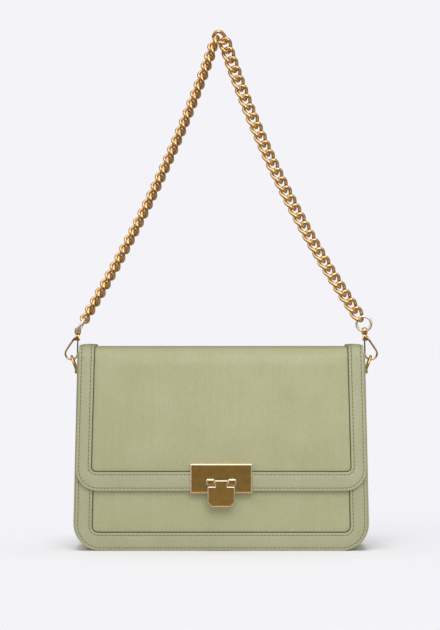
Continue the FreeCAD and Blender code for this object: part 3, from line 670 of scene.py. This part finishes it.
# %% The flap's fold
flap_front, flap_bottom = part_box("flap_panel")[0].yz
flap_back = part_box("flap_rear_panel")[1].y
flap_back_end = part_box("flap_rear_panel")[0].z
flap_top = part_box("flap_top_panel")[1].z
fold_radius = 10 * mm
fold_steps = 8
quarter = math.pi / 2 * fold_radius
front_run = flap_top - fold_radius - flap_bottom
top_run = flap_back - flap_front - 2 * fold_radius
back_run = flap_top - fold_radius - flap_back_end
top_start = front_run + quarter
top_end = top_start + top_run
flap_length = top_end + quarter + back_run


def folded(point):
    """Where a point of the flat flap goes: across, along and out from its outer face."""
    across, along, out = point
    radius, bend_height = fold_radius + out, flap_top - fold_radius
    if along <= front_run:
        return Vector((across, flap_front - out, flap_bottom + along))
    if along <= top_start:
        turn = (along - front_run) / fold_radius
        depth, rise = radius * math.cos(turn), radius * math.sin(turn)
        return Vector((across, flap_front + fold_radius - depth, bend_height + rise))
    if along <= top_end:
        return Vector((across, flap_front + fold_radius + along - top_start, flap_top + out))
    if along <= top_end + quarter:
        turn = (along - top_end) / fold_radius
        depth, rise = radius * math.sin(turn), radius * math.cos(turn)
        return Vector((across, flap_back - fold_radius + depth, bend_height + rise))
    return Vector((across, flap_back + out, bend_height - (along - top_end - quarter)))


def fold_flap(bm):
    for bend_start in (front_run, top_end):
        cut_across(bm, "y", [bend_start + quarter * step / fold_steps for step in range(fold_steps + 1)])
    for vert in bm.verts:
        vert.co = folded(vert.co)


print("flap is", round(flap_length / mm, 1), "mm long when flat")

# %% [markdown]
# The flap bends at two places when it opens: at a line across the top, and at the rounded front edge.
# A piece can blend between two bodies only, so each layer of the flap is made as a front part and a
# rear part that meet on the stiff stretch of the top between the two bends.

# %% The flap's outline and where its parts meet
flap_half_bottom = 131 * mm
flap_half_top = 127.5 * mm
flap_corner = 20 * mm
flap_border_side = 13.6 * mm
flap_border_bottom = 17 * mm
flap_border_corner = 4.5 * mm
meet_past_bend = 18 * mm
parts_meet = top_start + meet_past_bend
flap_taper = (flap_half_bottom - flap_half_top) / (flap_top - flap_bottom)


def flap_half(along):
    return max(flap_half_top, flap_half_bottom - flap_taper * along)


def flap_outline(side, bottom, corner, top):
    """Corners of the flap's front part, drawn in at its sides and its lower edge."""
    low, bend = flap_half(bottom) - side, flap_half(front_run) - side
    high = flap_half_top - side
    return [(-high, top, 0), (-bend, front_run, 0), (-low, bottom, corner),
            (low, bottom, corner), (bend, front_run, 0), (high, top, 0)]


def bend_front(piece, *nodes):
    """Fixes the piece where it lies at rest and hides the nodes it stands in for."""
    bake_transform(piece)
    stand_in(nodes)


def bend_rear(piece, *nodes):
    """Fixes the piece where it lies at rest and hides the nodes it stands in for."""
    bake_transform(piece)
    stand_in(nodes)


print("the flap's parts meet", round(parts_meet / mm, 1), "mm from its lower edge")

# %% Base skins of the flap
skin_back = -1.6 * mm
flap_skin_inset = 0.5 * mm
bend_step = 3 * mm
rear_cuts = even_places(parts_meet, top_end, bend_step)

# painted shade: the flap's base skins take the near-black slit leather, standing in for the shade in the
# slits
skin_part = draw_part(flap_outline(flap_skin_inset, flap_skin_inset, flap_corner, parts_meet))
thicken(skin_part, skin_back, slit_floor)
fold_flap(skin_part)
bend_front(to_object(skin_part, "flap_front_skin", seam_leather), "flap_panel", "flap_top_panel")

half = flap_half_top - flap_skin_inset
skin_part = draw_part(rectangle(-half, half, parts_meet, flap_length - flap_skin_inset))
thicken(skin_part, skin_back, slit_floor)
cut_across(skin_part, "y", rear_cuts)
fold_flap(skin_part)
bend_rear(to_object(skin_part, "flap_rear_skin", seam_leather), "flap_rear_panel")

# %% Borders of the flap
flap_border_rise = flap_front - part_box("flap_band")[0].y
front_end, rear_end = parts_meet + past_end, parts_meet - past_end

outer = flap_outline(0, 0, flap_corner, front_end)
inner = flap_outline(flap_border_side, flap_border_bottom, flap_border_corner, front_end)
border = stitched_part(outer + inner[::-1], skin_back, flap_border_rise, 1, parts_meet)
lean_hem(border, flap_border_bottom)
fold_flap(border)
bend_front(to_object(border, "flap_front_border", border_leather), "flap_band", "flap_top_band")

for hand, side_name in ((-1, "left"), (1, "right")):
    outside, inside = hand * flap_half_top, hand * (flap_half_top - flap_border_side)
    corners = rectangle(outside, inside, rear_end, flap_length)
    border = stitched_part(corners, skin_back, flap_border_rise, -1, parts_meet)
    cut_across(border, "y", rear_cuts)
    fold_flap(border)
    bend_rear(to_object(border, "flap_rear_border_" + side_name, border_leather), "flap_rear_band")

# %% Raised middle of the flap
middle_inset = flap_border_side + slit_width
middle_bottom = flap_border_bottom + slit_width
middle_level, middle_round = -0.1 * mm, 0.7 * mm
flap_pad = 1.7 * mm
fade_end, fade_length = front_run + 5 * mm, 12 * mm
fine_low, fine_high, fine_step = front_run - 12 * mm, front_run + 6 * mm, 1.5 * mm


def flap_fullness(point):
    """How far the pad has grown: none at the border and on the upper half of the bend."""
    share = rim_share(flap_half(point.y) - middle_inset - abs(point.x), point.y - middle_bottom)
    return share * min(1.0, max(0.0, (fade_end - point.y) / fade_length))


def raised_middle(name, corners, keep, cuts):
    bm = draw_part(corners)
    round_edge(bm, thicken(bm, slit_floor, middle_level), middle_round)
    cut_across(bm, "x", even_places(-flap_half_top, flap_half_top, pad_step))
    trim(bm, bench_along * keep, bench_along * parts_meet)
    cut_across(bm, "y", cuts)
    pad_out(bm, flap_fullness, flap_pad)
    fold_flap(bm)
    return to_object(bm, name, leather, smooth_angle=soft_angle)


front_cuts = even_places(middle_bottom, fine_low, pad_step) + even_places(fine_low, fine_high, fine_step)
corners = flap_outline(middle_inset, middle_bottom, flap_border_corner - slit_width, front_end)
bend_front(raised_middle("flap_front_middle", corners, 1, front_cuts))
half = flap_half_top - middle_inset
corners = rectangle(-half, half, rear_end, flap_length)
bend_rear(raised_middle("flap_rear_middle", corners, -1, rear_cuts))

# %% [markdown]
# ## Lining of the flap
# Cloth backs the flap where the board ends. One cloth could be folded with the leather, but thick
# linings stop short of the bend, so one cloth rides on the front and another on the top.

# %% Flap linings
lining_side, lining_corner = 4 * mm, flap_corner - 1.5 * mm
low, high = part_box("flap_lining")
top_half = half_width(high.z) - lining_side
cloth = draw_part([(-top_half, high.z, 0), (low.x, low.z, lining_corner), (high.x, low.z, lining_corner),
                   (top_half, high.z, 0)])
thicken(cloth, low.y - high.y, 0)
cut_across(cloth, "x", even_places(low.x, high.x, cloth_step))
stand_front(cloth, low.y)
lay_cloth(cloth, "flap_lining", "flap_front")

low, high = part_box("flap_top_lining")
cloth = draw_part(rectangle(low.x, high.x, low.y, high.y))
thicken(cloth, low.z, high.z)
cut_across(cloth, "x", even_places(low.x, high.x, cloth_step))
lay_cloth(cloth, "flap_top_lining", "flap_top")

# %% [markdown]
# ## Stitching
# Each stitch is a short thread that dips into the leather at both ends. A bump could hint at it, but
# real stitches cast the small shadows that the eye looks for. One stitch is a cylinder with its ends
# bent down; copies of it walk along lines of straight runs and corner arcs, a fixed distance inside the
# edges of the borders.

# %% One stitch
stitch_pitch = 3.5 * mm
stitch_length = 2.5 * mm
stitch_radius = 0.36 * mm
dip_share = 0.9

# a short thread along z whose ends dip away from y, the side that shows
bm = bmesh.new()
bmesh.ops.create_cone(bm, cap_ends=True, segments=6, radius1=stitch_radius, radius2=stitch_radius,
                      depth=stitch_length)
long_edges = [edge for edge in bm.edges if edge.calc_length() > stitch_length / 2]
bmesh.ops.subdivide_edges(bm, edges=long_edges, cuts=1)
for vert in bm.verts:
    vert.co.y -= stitch_radius * dip_share * (2 * vert.co.z / stitch_length) ** 2
stitch_pattern = to_mesh(bm, "one_stitch")
print("one stitch:", len(stitch_pattern.polygons), "faces")


def add_stitch(bm, middle, along, out):
    """A copy of the stitch along a direction, with its upper side outwards."""
    turn = Matrix((out.cross(along), out, along)).transposed().to_4x4()
    copy = stitch_pattern.copy()
    copy.transform(Matrix.Translation(middle) @ turn)
    bm.from_mesh(copy)
    bpy.data.meshes.remove(copy)


# %% The walk along a line
arc_steps = 12
look_ahead = 0.2 * mm


def rounded_line(corners):
    """A line through (across, along, rounding) corners, with its round corners as arcs."""
    points = [Vector(corner[:2]) for corner in corners]
    line = [points[0]]
    for before, here, after, corner in zip(points, points[1:], points[2:], corners[1:]):
        radius = corner[2]
        if radius == 0:
            line.append(here)
            continue
        back, ahead = (before - here).normalized(), (after - here).normalized()
        half_angle = back.angle(ahead) / 2
        centre = here + (back + ahead).normalized() * radius / math.sin(half_angle)
        start = here + back * radius / math.tan(half_angle) - centre
        end = here + ahead * radius / math.tan(half_angle) - centre
        first, last = math.atan2(start.y, start.x), math.atan2(end.y, end.x)
        last += 2 * math.pi * round((first - last) / (2 * math.pi))
        for step in range(arc_steps + 1):
            angle = first + (last - first) * step / arc_steps
            line.append(centre + radius * Vector((math.cos(angle), math.sin(angle))))
    return line + [points[-1]]


def sew(bm, line, level, place, outward):
    """Stitches along a line: place carries a bench point to the bag, outward gives its normal."""
    travelled, due = 0.0, stitch_pitch / 2
    for start, end in zip(line, line[1:]):
        run = (end - start).length
        while due <= travelled + run:
            spot = start + (end - start) * (due - travelled) / run
            ahead = spot + (end - start).normalized() * look_ahead
            middle = place((spot.x, spot.y, level))
            along = (place((ahead.x, ahead.y, level)) - middle).normalized()
            add_stitch(bm, middle, along, outward(spot))
            due += stitch_pitch
        travelled += run


# %% Sew the body
thread_level = -0.1 * mm
front_thread_end = body_top - 8 * mm
back_thread_end = flap_back_end + 6 * mm


def front_place(point):
    return Vector((point[0], front_face - point[2] + hem_drop(point[1], border_width), point[1]))


def back_place(point):
    return Vector((point[0], back_face + point[2], point[1]))


outer_corner = body_corner - stitch_inset
inner_inset, inner_corner = border_width - stitch_inset, border_corner + stitch_inset
body_thread = bmesh.new()
for inset, corner in ((stitch_inset, outer_corner), (inner_inset, inner_corner)):
    line = rounded_line(body_outline(inset, corner, front_thread_end))
    sew(body_thread, line, border_rise + thread_level, front_place, lambda spot: Vector((0, -1, 0)))
line = rounded_line(body_outline(stitch_inset, outer_corner, back_thread_end))
sew(body_thread, line, thread_level, back_place, lambda spot: Vector((0, 1, 0)))
ride(to_object(body_thread, "body_stitches", thread), "body")


# %% Sew the flap
def flap_place(point):
    return folded((point[0], point[1], point[2] - hem_drop(point[1], flap_border_bottom)))


def flap_outward(spot):
    return (folded((spot.x, spot.y, mm)) - folded((spot.x, spot.y, 0))).normalized()


flap_level = flap_border_rise + thread_level
inner_side = flap_border_side - stitch_inset
front_thread = bmesh.new()
for side, bottom, corner in (
        (stitch_inset, stitch_inset, flap_corner - stitch_inset),
        (inner_side, flap_border_bottom - stitch_inset, flap_border_corner + stitch_inset)):
    line = rounded_line(flap_outline(side, bottom, corner, parts_meet))
    sew(front_thread, line, flap_level, flap_place, flap_outward)
bend_front(to_object(front_thread, "flap_front_stitches", thread))

rear_hem, rear_hem_level = flap_length - stitch_inset, 0.9 * mm
half_hem = flap_half_top - flap_border_side - slit_width
rear_thread = bmesh.new()
for hand in (-1, 1):
    for side in (stitch_inset, inner_side):
        across = hand * (flap_half_top - side)
        line = [Vector((across, parts_meet)), Vector((across, rear_hem))]
        sew(rear_thread, line, flap_level, folded, flap_outward)
line = [Vector((-half_hem, rear_hem)), Vector((half_hem, rear_hem))]
sew(rear_thread, line, rear_hem_level, folded, flap_outward)
bend_rear(to_object(rear_thread, "flap_rear_stitches", thread))

# %% [markdown]
# ## Metal fittings
# Chain, rings and hooks could be drawn again from curves, but the frame has their exact shapes, and
# they have to fit into each other when they move. So a copy of each node is merged into one skin that
# can shade smoothly. The sharp anchors get a fine bevel, because a plated edge catches a line of light.

# %% Copies of the fittings
flat_angle, sharp_angle = math.radians(1), math.radians(35)
round_angle = 40
anchor_ease = 0.22 * mm
round_fittings = ("chain_links", "side_ring", "hook", "swivel_eye", "gate_pin", "anchor_rivets")


def merged_copy(node):
    bm = bmesh.new()
    bm.from_mesh(frame["nodes"][node].data)
    merge(bm)
    return bm


def eased_mesh(node, ease):
    """A copy with clean flat faces and every sharp edge eased by a small bevel."""
    bm = merged_copy(node)
    bmesh.ops.dissolve_limit(bm, angle_limit=flat_angle, verts=bm.verts[:], edges=bm.edges[:])
    sharp = [edge for edge in bm.edges if edge.is_manifold and edge.calc_face_angle() > sharp_angle]
    bmesh.ops.bevel(bm, geom=sharp, offset=ease, segments=2, profile=0.5, affect="EDGES", material=-1,
                    clamp_overlap=True)
    return bm


def add_fitting(bm, node, ending, finish, angle):
    """A fitting in place of its node, on the body that carries the node."""
    bodies = frame["record"]["behaviour"]["bodies"]
    body = next(name for name, nodes in bodies.items() if node in nodes)
    ride(to_object(bm, node + ending, finish, angle), body, node)


for node in sorted(frame["nodes"]):
    if node.startswith(round_fittings):
        add_fitting(merged_copy(node), node, "_polished", gold, round_angle)
    # painted reflection: the end rings take the paler gold that stands in for what they reflect
    elif node.startswith("end_ring"):
        add_fitting(merged_copy(node), node, "_polished", pale_gold, round_angle)
for node in ("side_anchor_left", "side_anchor_right"):
    add_fitting(eased_mesh(node, anchor_ease), node, "_eased", gold, crisp_angle)

# %% [markdown]
# ## The lock
# The lock is a dished plate with a bright rim, two lugs that come through its slot, and a tongue that
# turns between them. A bevel would round the rim, but its light would be broad. The rim in the picture
# is a thin line, so insets of a flat outline make it: a slope up, a narrow flat and a steep step down.
# For the slot one face of the dish is pushed right in. The lugs are eased copies with raised fronts.
# Corners outside the dishes carry the rim highlight, which the finish paints a paler gold: a painted
# highlight.

# %% Lock plate
rim_flat, dish_step = 0.12 * mm, 0.3 * mm


def rim_and_dish(bm, face, width, rise, depth):
    """A rim that slopes up, a narrow flat on top and a steep step down into a dish."""
    return press_in(bm, face, [(width, rise), (rim_flat, 0), (dish_step, -depth)])


def paint_rim_highlight(bm, faces_without_highlight):
    """Marks every corner for the painted rim highlight except those of the given faces."""
    polish = bm.verts.layers.float.new("polish")
    dull = {vert for face in faces_without_highlight for vert in face.verts}
    for vert in bm.verts:
        vert[polish] = 0.0 if vert in dull else 1.0


low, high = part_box("lock_front_plate")
rim_width, rim_rise, dish_depth = 1 * mm, 0.75 * mm, 0.4 * mm
plate = draw_part(rectangle(low.x, high.x, low.z, high.z))
dish = thicken(plate, 0, high.y - low.y - rim_rise)
dish = rim_and_dish(plate, dish, rim_width, rim_rise, dish_depth)
paint_rim_highlight(plate, [dish])

slot_half, slot_half_height = 14.2 * mm, 3.7 * mm
slot_below_middle, slot_draft, slot_depth = 3.45 * mm, 0.15 * mm, 3 * mm
slot_middle = (low.z + high.z) / 2 - slot_below_middle
cut_across(plate, "x", [-slot_half, slot_half])
cut_across(plate, "y", [slot_middle - slot_half_height, slot_middle + slot_half_height])
slot_face = min((face for face in plate.faces if face.normal.z > straight_up),
                key=lambda face: (face.calc_center_median() - Vector((0, slot_middle, 1))).xy.length)
press_in(plate, slot_face, [(slot_draft, -slot_depth)])
stand_front(plate, high.y)
ride(to_object(plate, "lock_plate", lock_gold, crisp_angle), "flap_front", "lock_front_plate")

# %% Lugs
lug_ease, lug_reach = 0.25 * mm, 0.05 * mm
lug_rim, lug_rise, lug_flat = 0.65 * mm, 0.5 * mm, 0.15 * mm
lug_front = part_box("lock_back_plate")[0].y + lug_reach
lugs = eased_mesh("lock_back_plate", lug_ease)
fronts = [face for face in lugs.faces
          if face.normal.y < -straight_up and face.calc_center_median().y < lug_front]
bmesh.ops.inset_individual(lugs, faces=fronts, thickness=lug_rim, depth=lug_rise)
bmesh.ops.inset_individual(lugs, faces=fronts, thickness=lug_flat, depth=0)
paint_rim_highlight(lugs, fronts)
print("lug fronts raised:", len(fronts))
ride(to_object(lugs, "lock_lugs", lock_gold, crisp_angle), "flap_front", "lock_back_plate")

# %% Tongue
low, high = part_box("tongue")
half_blade, half_neck, chamfer = high.x, 5.75 * mm, 3.8 * mm
barrel_radius, barrel_segments = 1.25 * mm, 28
pin_height, pin_depth = high.z - 2.1 * mm, (low.y + high.y) / 2
shoulder, neck_top = low.z + 18.5 * mm, pin_height + 1.7 * mm
blade_back, blade_front = -1.1 * mm, 1.7 * mm
blade_rim, blade_rise, blade_dish = 0.8 * mm, 0.6 * mm, 0.35 * mm

right_side = [(half_blade - chamfer, low.z, 0), (half_blade, low.z + chamfer, 0), (half_blade, shoulder, 0),
              (half_neck, shoulder, 0), (half_neck, neck_top, 0)]
left_side = [(-across, along, rounding) for across, along, rounding in right_side[::-1]]
blade = draw_part(left_side + right_side)
dish = thicken(blade, blade_back, blade_front - blade_rise)
dish = rim_and_dish(blade, dish, blade_rim, blade_rise, blade_dish)
paint_rim_highlight(blade, [dish])
stand_front(blade, pin_depth)
barrel_place = Matrix.Translation((0, pin_depth, pin_height)) @ Matrix.Rotation(math.pi / 2, 4, "Y")
bmesh.ops.create_cone(blade, cap_ends=True, segments=barrel_segments, radius1=barrel_radius,
                      radius2=barrel_radius, depth=2 * half_neck, matrix=barrel_place)
ride(to_object(blade, "lock_tongue", lock_gold, crisp_angle), "tongue", "tongue")

# %% [markdown]
# ## Finishes of the hidden pieces
# Boards, magnets, pins, screws and washers could be dressed like the rest, but they are hidden or
# nearly so: their own solids only need a finish. The front board is the exception: its top is cut down
# to the height of the leather in front of it.

# %% Hidden pieces
plain_finishes = {"back_board": board, "flap_board": board, "base_board": lining_cloth,
                  "catch_magnet": steel, "flap_magnet": steel, "lock_screws": steel, "hinge_pin": gold,
                  "rivet_washers_left": steel, "rivet_washers_right": steel}
for node, finish in plain_finishes.items():
    mesh = frame["nodes"][node].data
    mesh.materials.clear()
    mesh.materials.append(finish)
board_part = merged_copy("front_board")
trim(board_part, Vector((0, 0, 1)), Vector((0, 0, front_top)))
ride(to_object(board_part, "front_board_cut", board, crisp_angle), "body", "front_board")

# %% [markdown]
# ## Studio
# A wide pale floor runs back under a sky of the same colour, so no horizon shows; a curved backdrop
# would need light of its own. Two wide, soft suns stand above and at the upper left and keep the shadow
# faint. A third lights only the floor, which stays as pale as the sky, and a square panel near the front
# lights the bag's upper part more than its foot and skips the floor. Metal needs something dark to
# reflect as well, so for reflections the sky is a dim room with three soft boxes.

# %% Light levels
background = (0.905, 0.898, 0.938)
sky_light = 0.4
suns = [("top", 0.35, 70, -12, 0), ("key", 0.35, 40, 50, -25)]
floor_sun = ("floor_sun", 1.15, 25, 18, 0)
sun_shares = [strength * math.cos(math.radians(tip)) for _, strength, _, tip, _ in suns + [floor_sun]]
floor_light = sky_light + sum(sun_shares) / math.pi
print("light on the floor:", round(floor_light, 3))

# %% Floor
floor_half, floor_drop = 12, 0.05 * mm
mirror_near, mirror_far = -0.75, -0.15
mirror_dark, mirror_pale = (0.1, 0.09, 0.08), (0.4, 0.38, 0.36)

bm = bmesh.new()
bmesh.ops.create_grid(bm, x_segments=2, y_segments=2, size=floor_half)
floor = add_object("floor", to_mesh(bm, "floor"))
floor.location.z = -floor_drop

# lit, the floor has the background's colour; in reflections it darkens towards the viewer
material, tree, shader = new_material("pale_floor")
depth = add_node(tree, "SeparateXYZ")
join(object_coordinates(tree), depth.inputs["Vector"])
near = add_node(tree, "MapRange", interpolation_type="SMOOTHSTEP",
                From_Min=mirror_near, From_Max=mirror_far)
join(depth.outputs["Y"], near.inputs["Value"])
mirrored = ramp(near.outputs["Result"], mirror_dark, mirror_pale, 0, 1)
paint = (*[share / floor_light for share in background], 1)
glossy = add_node(tree, "LightPath").outputs["Is Glossy Ray"]
dress(shader, Base_Color=mix_colours(tree, glossy, paint, mirrored), Roughness=0.9, Specular_IOR_Level=0.0)
floor.data.materials.append(material)
print("floor:", 2 * floor_half, "m wide")

# %% The room that reflections see
dim_studio, soft_core = 0.13, 0.6
soft_boxes = [((-0.9, -0.45, 0.15), 48, 1.1), ((0.9, -0.4, 0.15), 42, 0.75), ((0, -0.25, 1), 45, 1.1)]

world = bpy.data.worlds.new("studio")
bpy.context.scene.world = world
world.use_nodes = True
sky = world.node_tree
sky.nodes.remove(sky.nodes["Background"])
direction = add_node(sky, "TexCoord").outputs["Generated"]
room = None
for aim, width, strength in soft_boxes:
    facing = add_node(sky, "VectorMath", operation="DOT_PRODUCT")
    join(direction, facing.inputs[0])
    join(Vector(aim).normalized(), facing.inputs[1])
    rim, core = math.cos(math.radians(width)), math.cos(math.radians(width * soft_core))
    glow = add_node(sky, "MapRange", interpolation_type="SMOOTHSTEP", From_Min=rim, From_Max=core,
                    To_Min=0.0 if room else dim_studio, To_Max=strength)
    join(facing.outputs["Value"], glow.inputs["Value"])
    room = combine("ADD", room, glow.outputs["Result"]) if room else glow.outputs["Result"]
print("soft boxes:", len(soft_boxes))


# %% Sky
def sky_layer(colour, strength):
    return add_node(sky, "Background", Color=(*colour, 1), Strength=strength)


def choose(share, first, second):
    mixer = add_node(sky, "MixShader")
    for source, target in zip((share, first.outputs[0], second.outputs[0]), mixer.inputs):
        join(source, target)
    return mixer


mirrored = sky_layer(white, 1.0)
join(room, mirrored.inputs["Color"])
ray = add_node(sky, "LightPath").outputs
clear = combine("MAXIMUM", ray["Is Camera Ray"], ray["Is Transmission Ray"])
light = choose(ray["Is Glossy Ray"], sky_layer(white, sky_light), mirrored)
result = choose(clear, light, sky_layer(background, 1.0))
join(result.outputs[0], sky.nodes["World Output"].inputs["Surface"])
print("sky nodes:", len(sky.nodes))

# %% Lamps
panel_power, panel_size = 2.5, 0.45
panel_place = Vector((0.12, -0.75, 0.52))
panel_aim = Vector((0, -0.04, 0.13))


def add_lamp(name, kind, energy, rotation):
    lamp = add_object(name, bpy.data.lights.new(name, kind))
    lamp.data.energy = energy
    lamp.rotation_euler = rotation
    return lamp


def add_sun(name, strength, spread, tip, turn):
    sun = add_lamp(name, "SUN", strength, (math.radians(tip), 0, math.radians(turn)))
    sun.data.angle = math.radians(spread)
    return sun


def link_floor(lamp, state):
    """Makes a lamp light only the floor (INCLUDE) or everything but the floor (EXCLUDE)."""
    linked = bpy.data.collections.new(lamp.name + "_floor")
    linked.objects.link(floor)
    for item in linked.collection_objects:
        item.light_linking.link_state = state
    lamp.light_linking.receiver_collection = linked


for sun in suns:
    add_sun(*sun)
link_floor(add_sun(*floor_sun), "INCLUDE")
panel_turn = (panel_aim - panel_place).to_track_quat("-Z", "Y").to_euler()
panel = add_lamp("panel", "AREA", panel_power, panel_turn)
panel.data.size = panel_size
panel.location = panel_place
link_floor(panel, "EXCLUDE")
print("lamps:", len(bpy.data.lights))
